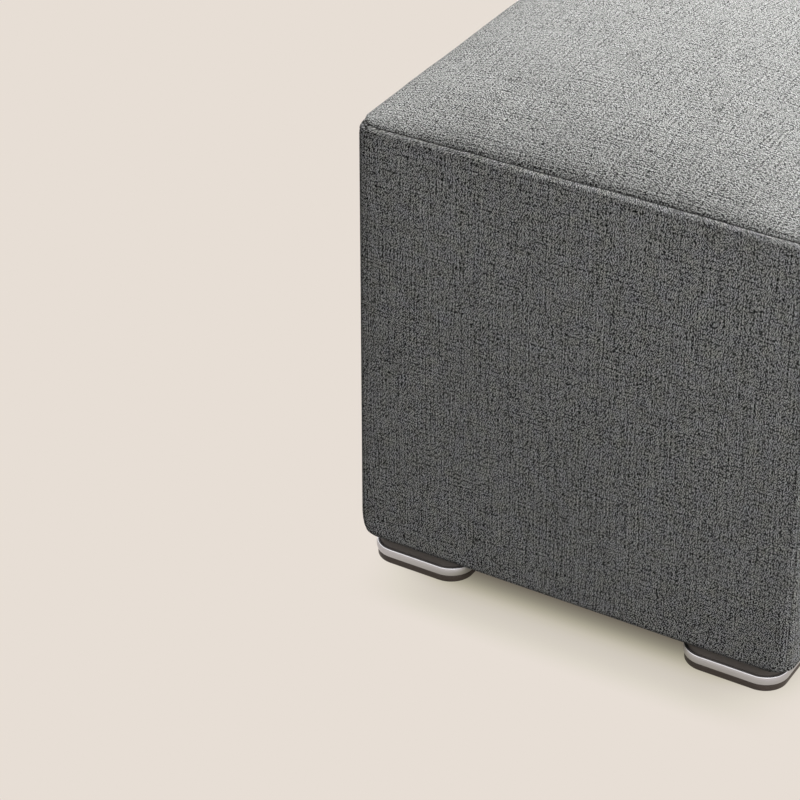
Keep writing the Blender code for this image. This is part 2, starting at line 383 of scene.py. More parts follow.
def cover_points(seed):
    """The grid of a side cover's face, as x, y and z of each row and column. It faces -Y.

    The filling's push is still to come."""
    rows, columns = cover_rows(), cover_columns()
    z, inset = rows[:, :1], rows[:, 1:2]
    share, angle = columns[:, 0][None, :], columns[:, 1][None, :]
    near_floor = np.clip(1 - (z - CLOTH_BOTTOM) / CORNER_BLEND, 0, 1) ** 2
    near_lip = np.clip(1 - (SEAM_HEIGHT - z) / TOP_BLEND, 0, 1) ** 3
    radius = CORNER_RADIUS + (FOOT_CORNER_RADIUS - CORNER_RADIUS) * near_floor
    radius = radius + (TOP_EDGE_RADIUS - CORNER_RADIUS) * near_lip
    shoulder = SHOULDER * (1 - near_floor) * (1 - near_lip)
    straight = HALF - inset - radius - shoulder
    turned = abs(angle) / SEAM_ANGLE
    near_seam = np.clip(turned - 1 + CORNER_SEAM_SPREAD, 0, 1) / CORNER_SEAM_SPREAD
    reach = radius - CORNER_SEAM_DEPTH * near_seam**2
    x = straight * share + reach * np.sin(angle)
    fallen = shoulder * (1 - np.exp(-straight * (1 - abs(share)) / SHOULDER_REACH))
    across = abs(x / (straight + (radius - CORNER_SEAM_DEPTH) * math.sin(SEAM_ANGLE)))
    up = abs(2 * (z - CLOTH_BOTTOM) / (SEAM_HEIGHT - CLOTH_BOTTOM) - 1)
    bulge = (1 - across**FULLNESS_POWER) * (1 - up**FULLNESS_POWER)
    across_power, up_power = SIDE_WAVE_POWERS
    uneven = undulation(SIDE_WAVES, seed)(x, 0 * x, z) * (1 - across**across_power) * (1 - up**up_power)
    y = -straight - fallen - reach * np.cos(angle) - (FULLNESS - SIM_RISE) * bulge + uneven
    in_groove = (np.arange(len(z)) >= len(z) - GROOVE_ROWS)[:, None]
    z = z + (SEAM_HEIGHT - LIP_TOP - z) * in_groove * turned
    z = z + seam_rise(x, y, 0) * np.clip(1 - (SEAM_HEIGHT - z) / SEAM_WAVE_REACH, 0, 1)
    return x, y, z


def cover_painted_light(x, z, lip_share):
    """Painted highlight and shade at each point of the grid: lighter along the lip, darker at the corners, in
    the creases and low down near the floor and the feet.
    """
    tone = cover_rows()[:, 2:]
    tone = np.where(tone > 0, tone * lip_share, tone)
    share, angle = cover_columns().T
    turned = abs(angle) / SEAM_ANGLE
    from_arc = (HALF - CORNER_RADIUS) * (1 - abs(share))
    corner = SHOULDER_SHADE * np.exp(-from_arc / SHOULDER_REACH)
    corner = corner + CORNER_SHADE * turned + CREASE_SHADE * turned**CREASE_SHADE_POWER
    below_seam = (SEAM_HEIGHT - z - CORNER_SHADES_START) / (CORNER_SHADES_FULL - CORNER_SHADES_START)
    tone = tone * (1 - CORNER_PAINT_FADE * turned) + corner * np.clip(below_seam, 0, 1)
    low = np.clip(1 - (z - CLOTH_BOTTOM) / BOTTOM_SHADE_HEIGHT, 0, 1)
    foot_low = np.clip(1 + FOOT_SHADOW_FULL - (z - CLOTH_BOTTOM) / FOOT_SHADOW_HEIGHT, 0, 1)
    from_start, from_end = abs(x) - FOOT_SPAN[0], FOOT_SPAN[1] - abs(x)
    near_foot = np.clip(from_start / FOOT_SPAN_EDGE, 0, 1) * np.clip(from_end / FOOT_SPAN_EDGE, 0, 1)
    return tone + np.minimum(BOTTOM_SHADE * low, FOOT_SHADOW * foot_low * near_foot)


def run_along(first, second, middle):
    """How far along the cloth each point of a line lies, counted from its middle point's own place."""
    run = np.concatenate([[0], np.cumsum(np.hypot(np.diff(first), np.diff(second)))])
    return run - run[middle] + first[middle]


def cover_shifts(x, y, z):
    """How far the weave's place on the cloth is from x and z, in mm, because the cloth turns round edges."""
    middle_row, middle_column = x.shape[0] // 2, x.shape[1] // 2
    weft = run_along(x[middle_row], y[middle_row], middle_column)
    warp = run_along(z[:, middle_column], y[:, middle_column], middle_row)
    return 1000 * (weft[None, :] - x), 1000 * (warp[:, None] - z)


def cover_sheet(seed):
    """What the simulation needs to know of a side cover: its rolled edges are held."""
    points = np.stack(cover_points(seed), -1)
    free = np.zeros(points.shape[:2], bool)
    free[UNDER_ROWS + 1 : -(LIP_ROWS + DIP_ROWS + GROOVE_ROWS), ARC_COLUMNS + 1 : -(ARC_COLUMNS + 1)] = True
    return points, free, (0, -1, 0)


def side_cover(side, turn, seed, push, material):
    """A closed cover: the face's grid, drawn in to the pouf's middle behind it."""
    x, y, z = cover_points(seed)
    weft_shift, warp_shift = cover_shifts(x, y, z)
    y = y - push - CORNER_GAP
    levels, across = x.shape
    middle = np.stack([np.zeros(levels), np.full(levels, -CORNER_GAP), z.min(axis=1)], -1)[:, None]
    points = np.concatenate([np.stack([x, y, z], -1), middle], 1)
    spin = np.array(Matrix.Rotation(math.radians(turn), 3, "Z"))
    points = points.reshape(-1, 3) @ spin.T
    ring = across + 1
    here = np.arange(levels - 1)[:, None] * ring + np.arange(ring)[None, :]
    there = np.arange(levels - 1)[:, None] * ring + (np.arange(ring)[None, :] + 1) % ring
    quads = np.stack([here, there, there + ring, here + ring], -1).reshape(-1, 4)
    caps = [list(range(ring))[::-1], list(range((levels - 1) * ring, levels * ring))]
    mesh = bpy.data.meshes.new(f"{side}_cover")
    mesh.from_pydata(points.tolist(), [], quads.tolist() + caps)
    is_rear = turn >= 180
    # tone is the painted highlight and shade, which the material reads
    stored = {
        "tone": cover_painted_light(x, z, REAR_LIP_HIGHLIGHT_SHARE if is_rear else 1.0),
        "weft_shift": -weft_shift if is_rear else weft_shift,  # x or y falls there as the face's own x rises
        "warp_shift": warp_shift,
    }
    for attribute, values in stored.items():
        set_values(mesh, attribute, np.concatenate([values, np.zeros((levels, 1))], 1).ravel())
    piece = add_piece(f"{side}_cover", mesh, material, f"{side}_panel")


# Top cover


def crown_share(across):
    return np.clip(1 - abs(across) ** CROWN_FLATNESS, 0, 1) ** CROWN_FALL


def crowd(share):
    """Spaces the top cover's grid lines closer together towards its edges."""
    return EDGE_CROWDING * np.sin(math.pi / 2 * share) + (1 - EDGE_CROWDING) * share


def round_corners(x, y, half, radius):
    """Rounds the corners of a square of this half width."""
    start = half - radius
    a, b = np.clip((abs(x) - start) / radius, 0, 1), np.clip((abs(y) - start) / radius, 0, 1)
    both = (a > 0) & (b > 0)
    new_x = np.where(both, np.sign(x) * (start + radius * a * np.sqrt(1 - b * b / 2)), x)
    new_y = np.where(both, np.sign(y) * (start + radius * b * np.sqrt(1 - a * a / 2)), y)
    return new_x, new_y


def crown_points():
    """The grid of the top cover, and how far each point is from its edge.

    The filling's push is still to come."""
    half = HALF - ROLL_INSET
    line = crowd(np.linspace(-1, 1, TOP_CELLS + 1))
    share_x, share_y = np.meshgrid(line, line)
    rise = crown_share(share_x) * crown_share(share_y)
    x, y = round_corners(half * share_x, half * share_y, half, TOP_CORNER_RADIUS)
    uneven = undulation(TOP_WAVES, seed=11)(x, y, 0 * x) * np.clip(rise / TOP_WAVES_FULL, 0, 1)
    from_edge = half * (1 - np.maximum(abs(share_x), abs(share_y)))
    base = SEAM_HEIGHT + ROLL_HEIGHT + EDGE_FALL
    z = base + (CROWN_TOP - SIM_RISE - base) * rise - EDGE_FALL * np.exp(-from_edge / EDGE_REACH) + uneven
    z = z + seam_rise(x, y, 0) * np.clip(1 - from_edge / SEAM_WAVE_REACH, 0, 1)
    return np.stack([x, y, z], -1), from_edge


def near_corner(x, y):
    """How close a point on the top's rim is to a corner: 0 on the straight and 1 in the corner's middle."""
    from_side = HALF - ROLL_INSET - np.minimum(abs(x), abs(y))
    return np.clip((1 - from_side / TOP_CORNER_RADIUS) * math.sqrt(2), 0, 1)


def crown_sheet():
    """What the simulation needs to know of the top cover: its rim is held."""
    points, from_edge = crown_points()
    free = np.zeros(from_edge.shape, bool)
    free[1:-1, 1:-1] = True
    return points, free, (0, 0, 1)


def vertex_values(mesh, name):
    """The numbers that a mesh's vertices carry under this name."""
    values = np.empty(len(mesh.vertices))
    mesh.attributes[name].data.foreach_get("value", values)
    return values


def top_cover(push, material):
    """The crowned grid, whose rim is drawn down its rolled edge into the seam, and closed underneath."""
    half = HALF - ROLL_INSET
    points, from_edge = crown_points()
    points[..., 2] += push
    bm = bmesh.new()
    edge_distance = bm.verts.layers.float.new("edge_distance")
    turn = bm.verts.layers.float.new("turn")
    verts = [[bm.verts.new(point) for point in row] for row in points.tolist()]
    for row, distances in zip(verts, from_edge.tolist()):
        for vert, distance in zip(row, distances):
            vert[edge_distance] = distance
    for near, far in zip(verts, verts[1:]):
        for index in range(TOP_CELLS):
            bm.faces.new((near[index], far[index], far[index + 1], near[index + 1]))
    rim = [edge for edge in bm.edges if edge.is_boundary]
    drop = ROLL_HEIGHT + LIP_TOP + GROOVE_DEPTH
    drawn_in = LIP_INSET - LIP_PROUD + GROOVE_WIDTH + GAP - ROLL_INSET
    width, step_angle = 1.0, math.pi / 2 / ROLL_ROWS
    for step in range(1, ROLL_ROWS + 1):
        angle = step * step_angle
        drawn = bmesh.ops.extrude_edge_only(bm, edges=rim)["geom"]
        rim = [item for item in drawn if isinstance(item, bmesh.types.BMEdge)]
        new_width = 1 - drawn_in * (1 - math.cos(angle)) / half
        scale = new_width / width
        fall = (drop - GAP) * (math.sin(angle) - math.sin(angle - step_angle))
        for vert in (item for item in drawn if isinstance(item, bmesh.types.BMVert)):
            share = 1 - GROOVE_DEPTH / drop * float(near_corner(vert.co.x, vert.co.y))
            vert.co = (vert.co.x * scale, vert.co.y * scale, vert.co.z - fall * share)
            vert[turn] = step / ROLL_ROWS
            vert[edge_distance] = 0.0
        width = new_width
    bmesh.ops.contextual_create(bm, geom=rim)
    mesh = mesh_of("top_cover", bm)
    places = np.empty(3 * len(mesh.vertices))
    mesh.vertices.foreach_get("co", places)
    x, y = places.reshape(-1, 3).T[:2]
    turns = vertex_values(mesh, "turn")
    # Painted shade at the crown's edge and down its roll into the groove
    painted_edge_shade = EDGE_SHADE * np.exp(-vertex_values(mesh, "edge_distance") / EDGE_SHADE_REACH)
    painted_groove_shade = GROOVE_SHADE * turns * (1 - CORNER_PAINT_FADE * near_corner(x, y))
    set_values(mesh, "tone", np.maximum(painted_edge_shade + painted_groove_shade, GROOVE_SHADE))
    angles = math.pi / 2 * turns
    outward = 1 / (1 - drawn_in * (1 - np.cos(angles)) / half) - 1 + drop * angles / half
    set_values(mesh, "weft_shift", 1000 * y * outward)
    set_values(mesh, "warp_shift", 1000 * x * outward)
    piece = add_piece("top_cover", mesh, material, "top_panel")


# Feet


def is_level(edge):
    low, high = sorted(vert.co.z for vert in edge.verts)
    return high - low < LEVEL_TOLERANCE


def bevel(bm, edges, radius, segments):
    bmesh.ops.bevel(bm, geom=edges, offset=radius, segments=segments, profile=0.5, affect="EDGES")


def rounded_slab(name, low, high, corner_radius):
    """A slab between these corners with round upright edges and softened rims."""
    bm = bmesh.new()
    size = Matrix.Diagonal((*(high - low), 1))
    bmesh.ops.create_cube(bm, size=1.0, matrix=Matrix.Translation((low + high) / 2) @ size)
    bevel(bm, [edge for edge in bm.edges if not is_level(edge)], corner_radius, CORNER_SEGMENTS)
    bevel(bm, [edge for edge in bm.edges if is_level(edge)], SLAB_ROUNDING, RIM_SEGMENTS)
    return mesh_of(name, bm)


def rounded_rectangle(middle, half_x, half_y, radius, z):
    """The points of a level rounded rectangle, counter-clockwise."""
    for quarter, (sign_x, sign_y) in enumerate(((1, 1), (-1, 1), (-1, -1), (1, -1))):
        for step in range(CORNER_SEGMENTS + 1):
            angle = math.pi / 2 * (quarter + step / CORNER_SEGMENTS)
            yield (
                middle.x + sign_x * (half_x - radius) + radius * math.cos(angle),
                middle.y + sign_y * (half_y - radius) + radius * math.sin(angle),
                z,
            )


def band_mesh(name, low, high):
    """A ring with rounded rims: its section is swept round the foot as a stack of rounded rectangles."""
    middle, size = (low + high) / 2, (high - low) / 2
    section = []
    rims = (
        (BAND_LIP, high.z - BAND_LIP, 0),
        (BAND_WALL - BAND_LIP, high.z - BAND_LIP, 90),
        (BAND_WALL - BAND_LIP, low.z + BAND_LIP, 180),
        (BAND_LIP, low.z + BAND_LIP, 270),
    )
    for inset, height, start in rims:
        outside = BAND_BULGE if inset == BAND_LIP else 0.0
        for step in range(RIM_SEGMENTS + 1):
            angle = math.radians(start + 90 * step / RIM_SEGMENTS)
            rim_inset = inset - BAND_LIP * math.cos(angle) + outside
            section.append((rim_inset, height + BAND_LIP * math.sin(angle)))
    for step in range(1, BULGE_STEPS):
        share = step / BULGE_STEPS
        height = low.z + BAND_LIP + (high.z - low.z - 2 * BAND_LIP) * share
        section.append((BAND_BULGE * (2 * share - 1) ** 2, height))
    bm = bmesh.new()
    loops = []
    for inset, height in section:
        ring = rounded_rectangle(middle, size.x - inset, size.y - inset, FOOT_RADIUS - inset, height)
        loops.append([bm.verts.new(point) for point in ring])
    for lower, upper in zip(loops, loops[1:] + loops[:1]):
        for here in range(len(lower)):
            there = (here + 1) % len(lower)
            bm.faces.new((lower[here], lower[there], upper[there], upper[here]))
    return mesh_of(name, bm)


def foot(name, materials):
    """Finer pieces in place of one foot's sole, band and block."""
    boxes = {part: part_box(f"foot_{part}_{name}") for part in materials}
    meshes = {
        "sole": rounded_slab(f"sole_{name}", *boxes["sole"], FOOT_RADIUS - SOLE_INSET),
        "band": band_mesh(f"band_{name}", *boxes["band"]),
        "block": rounded_slab(f"block_{name}", *boxes["block"], FOOT_RADIUS - BAND_WALL - GAP),
    }
    for part, mesh in meshes.items():
        add_piece(f"{part}_{name}", mesh, materials[part], f"foot_{part}_{name}")


# Materials


class Shader:
    """Short calls that add nodes to one material. An input may be a socket or a number."""

    def __init__(self, name):
        self.material = bpy.data.materials.new(name)
        self.material.use_nodes = True
        self.tree = self.material.node_tree
        self.principled = self.tree.nodes["Principled BSDF"]

    @classmethod
    def of_tree(cls, tree):
        shader = cls.__new__(cls)
        shader.tree = tree
        return shader

    def node(self, kind, settings=None, **inputs):
        made = self.tree.nodes.new(kind)
        for setting, value in (settings or {}).items():
            setattr(made, setting, value)
        for name, value in inputs.items():
            self.plug(value, made.inputs[name.replace("_", " ")])
        return made

    def plug(self, value, socket):
        if isinstance(value, bpy.types.NodeSocket):
            self.tree.links.new(value, socket)
        else:
            socket.default_value = value

    def math(self, operation, *values, clamp=False):
        made = self.node("ShaderNodeMath", {"operation": operation, "use_clamp": clamp})
        for value, socket in zip(values, made.inputs):
            self.plug(value, socket)
        return made.outputs[0]

    def add(self, first, second):
        return self.math("ADD", first, second)

    def times(self, first, second):
        return self.math("MULTIPLY", first, second)

    def times_add(self, first, factor, offset):
        return self.math("MULTIPLY_ADD", first, factor, offset)

    def less(self, first, second):
        return self.math("LESS_THAN", first, second)

    def mix(self, share, first, second, kind="FLOAT", blend="MIX"):
        """first where share is 0 and second where it is 1. Each kind has its own sockets on the node."""
        made = self.node("ShaderNodeMix", {"data_type": kind, "blend_type": blend})
        start, result = {"FLOAT": (2, 0), "RGBA": (6, 2)}[kind]
        for value, socket in zip((share, first, second), (made.inputs[0], *made.inputs[start : start + 2])):
            self.plug(value, socket)
        return made.outputs[result]

    def mix_colour(self, share, first, second, blend="MIX"):
        return self.mix(share, first, second, "RGBA", blend)

    def ramp(self, share, colours):
        """The colour for a share of the way through these, which are (position, colour) from 0 to 1."""
        made = self.node("ShaderNodeValToRGB", Fac=share)
        elements = made.color_ramp.elements
        elements[0].position, elements[0].color = colours[0]
        elements[1].position, elements[1].color = colours[-1]
        for position, colour in colours[1:-1]:
            elements.new(position).color = colour
        return made.outputs[0]

    def point(self, x, y, z=0.0):
        return self.node("ShaderNodeCombineXYZ", X=x, Y=y, Z=z).outputs[0]

    def scaled(self, place, *scales):
        """A place for a noise: these coordinates, each times its scale."""
        return self.point(*(self.times(value, scale) for value, scale in zip(place, scales)))

    def noise(self, vector, detail=0.0, roughness=0.5):
        made = self.node("ShaderNodeTexNoise", Vector=vector, Scale=1.0, Detail=detail, Roughness=roughness)
        return made.outputs["Fac"]

    def chance(self, x, y, z=0.0):
        """A random number from 0 to 1 for each whole-numbered place."""
        made = self.node("ShaderNodeTexWhiteNoise", {"noise_dimensions": "3D"}, Vector=self.point(x, y, z))
        return made.outputs["Value"]

    def grain(self, x, y, z):
        """A random number round 0 for each place, kept apart from those of the places next to it."""
        beside = self.add(self.chance(self.add(x, -1.0), y, z), self.chance(self.add(x, 1.0), y, z))
        above = self.add(self.chance(x, self.add(y, -1.0), z), self.chance(x, self.add(y, 1.0), z))
        centred = self.add(self.chance(x, y, z), BESIDE_APART + ABOVE_APART - 0.5)
        return self.times_add(above, -ABOVE_APART, self.times_add(beside, -BESIDE_APART, centred))

    def stretch(self, thread, along, length):
        """The number of the stretch of this thread, in steps of this length from a start of its own."""
        start = self.times_add(self.chance(thread, 31.0), 4 * length, along)
        return self.math("FLOOR", self.times(start, 1 / length))

    def apart(self, tone, thread):
        """The tone that this function gives for a thread, kept apart from those of threads close to it."""
        beside = self.add(tone(self.add(thread, -2.0)), tone(self.add(thread, 2.0)))
        return self.times_add(beside, -THREADS_APART, tone(thread))

    def from_middle(self, share, power):
        """How far a share from 0 to 1 is from its middle: 1 at both ends and 0 halfway."""
        return self.math("POWER", self.math("ABSOLUTE", self.times_add(share, 2.0, -1.0)), power)

    def value(self, name):
        """A number stored on the mesh."""
        return self.node("ShaderNodeAttribute", {"attribute_name": name}).outputs["Fac"]

    def place(self):
        """x, y and z of the point, in millimetres."""
        parts = self.node("ShaderNodeSeparateXYZ", Vector=self.node("ShaderNodeTexCoord").outputs["Object"])
        return [self.times(socket, 1000.0) for socket in parts.outputs]

    def bump(self, height, strength, distance):
        return self.node("ShaderNodeBump", Strength=strength, Distance=distance, Height=height).outputs[0]

    def surface(self, **inputs):
        """Sets or plugs the surface's own sockets."""
        for name, value in inputs.items():
            self.plug(value, self.principled.inputs[name.replace("_", " ")])

    def emission(self, colour):
        """Makes the material one that only shines."""
        self.tree.nodes.remove(self.principled)
        glow = self.node("ShaderNodeEmission", Color=colour, Strength=1.0)
        self.plug(glow.outputs[0], self.tree.nodes["Material Output"].inputs["Surface"])


# Share of the random numbers beside one that is taken off it, so that light and dark don't gather in spots
BESIDE_APART = 0.3
ABOVE_APART = 0.12
THREADS_APART = 0.4

# The weave, in mm
END_PITCH = 0.8  # between the warp threads
PICK_PITCH = 0.855  # between the weft threads
ENDS, PICKS = 10, 6  # warp and weft threads in each repeat
WARP_PICKS = 2  # weft threads of the repeat that a warp thread floats over
DARK_ENDS = (0, 5)  # warp threads of the repeat with the most dark dashes
SWAY = 1.0  # how far a thread wanders to its sides
SLUB_LENGTH = 17.0  # of the darker stretches of a thread
PATTERN_LENGTH = 26.0  # stretch of a warp thread in which each repeat has the same lighter and darker picks

# Its tones. They are added up, and 0 is the middle of the colour ramp
Yarn = namedtuple("Yarn", "heather shade slubs")  # contrast along and between threads, and share of slubs
WARP_YARN = Yarn(heather=0.40, shade=0.22, slubs=0.14)
WEFT_YARN = Yarn(heather=0.36, shade=0.14, slubs=0.12)
FLOAT_SHADE = 0.27  # contrast between the floats of a warp thread
SLUBS_ON_WARP = (-0.38, -0.10)  # tones of the slubs in warp and weft where the warp shows
SLUBS_ON_WEFT = (-0.18, -0.28)  # and where the weft shows
DASH_TONE = -0.6
DASH_SHARE = 0.05  # of a warp thread's floats that are dark
DARK_END_SHARE = 0.35  # of those on the darkest threads, on top of that
SPECK_SHARE = 0.09  # of the crossings that are dark
THREAD_EDGE_SHADE = 0.22  # painted shade: contrast between the middle and the edges of a thread
ROUND_MIDDLE = 0.55  # height on a thread that has no such tone
FIBRE_TONE = 0.3
WASHOUT_PER_HIGHLIGHT, WASHOUT_MOST = 0.9, 0.55  # share of the weave's contrast that goes for each unit of painted highlight, and at most
RAMP_MIDDLE = 0.5
CONTRAST_LIFT = 0.012  # tone that each unit of contrast adds, for what the ramp's ends cut off
DARKEST = (0.004, 0.0041, 0.0044, 1)
MIDDLE = (0.155, 0.1568, 0.154, 1)
LIGHTEST_TINT = (1.0, 1.01, 0.985)
# The top's copy of the weave has less contrast and a darker light end than the sides': painted to stand in
# for the glancing light that washes out the top's contrast
SIDE_WEAVE = {"warp_axis": 2, "contrast": 1.45, "lightest": 0.58, "blue_range": (1.06, 0.95)}
TOP_WEAVE = {"warp_axis": 0, "contrast": 1.02, "lightest": 0.43, "blue_range": (1.0, 0.985)}


def cloth_material(name, weft_axis, warp_axis, contrast, lightest, blue_range):
    """A weave of heathered grey yarns whose warp floats over two picks in six, with dark dashes along it.

    The last number given to chance and grain only keeps one use of them from another."""
    s = Shader(name)
    place = s.place()
    weft = s.add(place[weft_axis], s.value("weft_shift"))
    warp = s.add(place[warp_axis], s.value("warp_shift"))
    sway = s.noise(s.scaled((weft, warp), 0.03, 0.03), detail=1.0)
    drift = s.noise(s.point(s.times(weft, 0.02), s.times(warp, 0.025), 7.0), detail=1.0)
    across = s.times(s.times_add(sway, SWAY, weft), 1 / END_PITCH)
    along = s.times(s.times_add(drift, SWAY, warp), 1 / PICK_PITCH)
    end, pick = s.math("FLOOR", across), s.math("FLOOR", along)
    end_share, pick_share = s.math("FRACT", across), s.math("FRACT", along)

    # Where each warp thread lies on top
    end_of_repeat = s.math("FLOORED_MODULO", end, float(ENDS))
    shift = s.math("FLOOR", s.times(s.chance(end_of_repeat, 3.0), float(PICKS)))
    phase = s.math("FLOORED_MODULO", s.add(pick, shift), float(PICKS))
    warp_up = s.less(phase, WARP_PICKS - 0.5)
    float_number = s.math("FLOOR", s.times(s.add(s.add(pick, shift), 0.5), 1 / PICKS))

    # How light each yarn is: a tone of its own, heather along it, and a tone for each stretch that shows
    def yarn_tone(yarn, heather, own):
        return s.times_add(s.add(heather, -0.5), yarn.heather, s.times(s.add(own, -0.5), yarn.shade))

    def warp_tone(thread):
        heather = s.noise(s.scaled((thread, warp), 5.3, 0.06), detail=1.0)
        return yarn_tone(WARP_YARN, heather, s.chance(thread, 11.0))

    def weft_tone(thread):
        heather = s.noise(s.scaled((weft, thread), 0.08, 4.7), detail=1.0)
        return yarn_tone(WEFT_YARN, heather, s.chance(thread, 29.0))

    def warp_slub(thread):
        return s.less(s.chance(thread, s.stretch(thread, warp, SLUB_LENGTH), 43.0), WARP_YARN.slubs)

    def weft_slub(thread):
        return s.less(s.chance(thread, s.stretch(thread, weft, SLUB_LENGTH), 47.0), WEFT_YARN.slubs)

    slubs = s.apart(warp_slub, end), s.apart(weft_slub, pick)

    def with_slubs(yarn, tones):
        return s.times_add(slubs[1], tones[1], s.times_add(slubs[0], tones[0], yarn))

    float_tone = s.add(s.chance(end, float_number, 5.0), -0.5)
    warp_yarn = with_slubs(s.times_add(float_tone, FLOAT_SHADE, s.apart(warp_tone, end)), SLUBS_ON_WARP)
    weft_yarn = with_slubs(s.apart(weft_tone, pick), SLUBS_ON_WEFT)
    tone = s.add(s.grain(end, pick, 9.0), s.mix(warp_up, weft_yarn, warp_yarn))
    pick_of_repeat = s.math("FLOORED_MODULO", pick, float(PICKS))
    block = s.math("FLOOR", s.times(warp, 1 / PATTERN_LENGTH))
    tone = s.add(s.grain(end, pick_of_repeat, s.add(block, 53.0)), tone)

    # Dark dashes: whole floats of the darkest ends, and odd bits everywhere
    dark_end = s.add(*(s.math("COMPARE", end_of_repeat, float(number), 0.5) for number in DARK_ENDS))
    share = s.times_add(dark_end, DARK_END_SHARE, DASH_SHARE)
    dash = s.times(s.less(s.chance(end, float_number, 13.0), share), warp_up)
    speck = s.less(s.chance(end, pick, 17.0), SPECK_SHARE)
    tone = s.times_add(s.math("MAXIMUM", dash, speck), DASH_TONE, tone)

    # Threads are round: painted shade darkens them towards their edges and towards the ends of their floats
    warp_round, weft_round = s.from_middle(end_share, 2.0), s.from_middle(pick_share, 2.0)
    float_end = s.from_middle(s.times(s.add(phase, pick_share), 1 / WARP_PICKS), 4.0)
    warp_height = s.times(s.times_add(warp_round, -1.0, 1.0), s.times_add(float_end, -0.7, 1.0))
    weft_height = s.times(s.times_add(weft_round, -1.0, 1.0), s.times_add(warp_round, -0.2, 0.75))
    height = s.mix(warp_up, weft_height, warp_height)
    askew = s.times_add(warp, 0.4, weft), s.times_add(weft, -0.4, warp)
    fibre = s.noise(s.scaled(askew, 1.3, 1.3), detail=2.0, roughness=0.7)
    tone = s.times_add(s.add(height, -ROUND_MIDDLE), THREAD_EDGE_SHADE, tone)
    tone = s.times_add(s.add(fibre, -0.5), FIBRE_TONE, tone)

    # Painted highlight and shade from the mesh: the weave's contrast fades under the highlight, and the
    # colour is lightened or darkened
    painted_light = s.value("tone")
    highlight_washout = s.math("MINIMUM", s.times(s.math("MAXIMUM", painted_light, 0.0), WASHOUT_PER_HIGHLIGHT), WASHOUT_MOST)
    tone = s.times(tone, s.times_add(highlight_washout, -1.0, 1.0))
    tone = s.times_add(tone, contrast, RAMP_MIDDLE + CONTRAST_LIFT * contrast)
    palest = (*(lightest * tint for tint in LIGHTEST_TINT), 1)
    colour = s.ramp(tone, ((0.0, DARKEST), (RAMP_MIDDLE, MIDDLE), (1.0, palest)))
    hue = s.noise(s.point(s.times(weft, 0.07), s.times(warp, 0.07), 8.0), detail=1.0)
    blue = s.mix(s.math("MULTIPLY", s.add(hue, -0.25), 2.0, clamp=True), *blue_range)
    # The painted highlight and shade scale the colour here; the blue also varies at random
    painted_light_factor = s.add(painted_light, 1.0)
    tint = s.point(painted_light_factor, painted_light_factor, s.times(painted_light_factor, blue))
    s.surface(
        Base_Color=s.mix_colour(1.0, colour, tint, blend="MULTIPLY"),
        Normal=s.bump(s.times_add(fibre, 0.35, height), 0.6, 0.00025),
        Roughness=0.92,
        Specular_IOR_Level=0.08,
        Sheen_Weight=0.02,
        Sheen_Roughness=0.45,
    )
    return s.material


def band_material():
    """Satin stainless steel, brushed along the band."""
    s = Shader("brushed_band")
    place = s.place()
    grain = s.noise(s.scaled(place, 0.12, 0.12, 9.0), detail=3.0, roughness=0.7)
    smudge = s.noise(s.scaled(place, 0.05, 0.05, 0.2), detail=1.0)
    s.surface(
        Base_Color=s.mix_colour(grain, (0.40, 0.396, 0.416, 1), (0.58, 0.573, 0.602, 1)),
        Roughness=s.times_add(grain, 0.12, s.times_add(smudge, 0.06, 0.22)),
        Normal=s.bump(grain, 0.35, 0.00006),
        Metallic=1.0,
    )
    return s.material


def plastic_material(name, dark, light, grain_along, shade):
    """Moulded plastic with a faint drawn grain and a fine texture.

    Between the two heights of shade, in mm, it fades from its full colour to a darker one: painted shade that
    deepens upwards, towards the cloth above."""
    s = Shader(name)
    place = s.place()
    streak = s.noise(s.scaled(place, grain_along, grain_along, 1.8), detail=3.0, roughness=0.6)
    pore = s.noise(s.scaled(place, 3.0, 3.0, 3.0), detail=2.0)
    colour = s.mix_colour(s.times_add(s.add(streak, -0.5), 2.2, 0.5), dark, light)
    span = {"From_Min": shade[0], "From_Max": shade[1]}
    level = s.node("ShaderNodeMapRange", Value=place[2], **span, To_Min=1.0, To_Max=0.55).outputs[0]
    s.surface(
        Base_Color=s.mix_colour(1.0, colour, s.point(level, level, level), blend="MULTIPLY"),
        Roughness=s.times_add(pore, 0.2, 0.4),
        Normal=s.bump(s.add(pore, streak), 0.3, 0.0001),
        Specular_IOR_Level=0.35,
    )
    return s.material


# Studio

# The soft shadow painted on the floor: its colours from none to the darkest, how far it reaches out from
# under the front, and where it fades out to the sides. The light comes from the back left.
SHADOW_COLOURS = (
    (0.00, (0.799, 0.730, 0.665, 1)),
    (0.10, (0.723, 0.672, 0.590, 1)),
    (0.20, (0.640, 0.590, 0.520, 1)),
    (0.30, (0.560, 0.517, 0.430, 1)),
    (0.48, (0.415, 0.384, 0.300, 1)),
    (0.66, (0.266, 0.245, 0.190, 1)),
    (0.80, (0.160, 0.140, 0.110, 1)),
    (1.00, (0.040, 0.034, 0.027, 1)),
)
